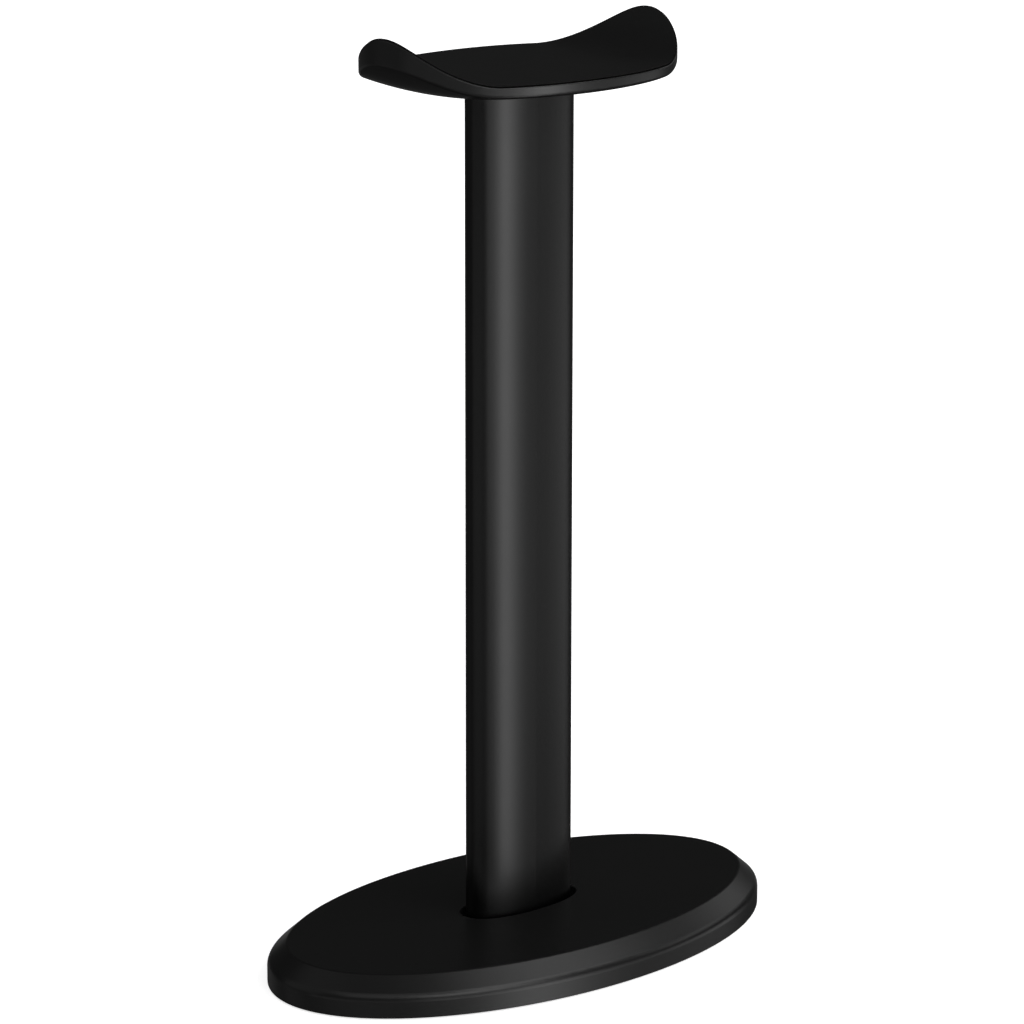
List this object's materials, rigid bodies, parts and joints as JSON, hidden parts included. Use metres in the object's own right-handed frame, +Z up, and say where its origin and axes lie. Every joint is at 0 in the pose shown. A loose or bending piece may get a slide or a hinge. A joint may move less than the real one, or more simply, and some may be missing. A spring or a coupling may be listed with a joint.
{
  "type": "headphone stand",
  "caption": "Free-standing headphone stand: oval weighted base with a wide bevel, slim oval column and a padded saddle with upswept ends.",
  "frame": {"origin": "on the ground, under the middle of the oval column, at the centre of the base's outline", "axes": "+Z up; Y along the long axis of the oval base and of the saddle, whose ends sweep up at +Y and -Y; X across, the way the headband hangs down on both sides"},
  "size_m": [0.094, 0.166, 0.2601],
  "materials": {
    "base_plastic": "satin moulded ABS, black",
    "cover_plastic": "fine-textured moulded ABS, black",
    "column_aluminium": "matte black anodised extrusion",
    "saddle_plastic": "satin moulded ABS, black",
    "pad_rubber": "matte silicone rubber, black",
    "foot_rubber": "matte rubber, black",
    "foam": "closed-cell foam, dark grey",
    "plug_plastic": "moulded nylon, black",
    "ballast_steel": "zinc-plated sheet steel",
    "screw_steel": "black zinc-plated steel"
  },
  "bodies": {
    "root": {"base_shell": "base_plastic", "bottom_cover": "cover_plastic", "cover_screws": "screw_steel", "foot_front_right": "foot_rubber", "foot_front_left": "foot_rubber", "foot_rear_right": "foot_rubber", "foot_rear_left": "foot_rubber", "ballast_plate": "ballast_steel", "damper_pads": "foam", "column_tube": "column_aluminium", "column_foot_plug": "plug_plastic", "column_screws": "screw_steel", "saddle_shell": "saddle_plastic", "saddle_pad": "pad_rubber", "saddle_clamp_plate": "ballast_steel", "saddle_screws": "screw_steel"}
  },
  "joints": []
}
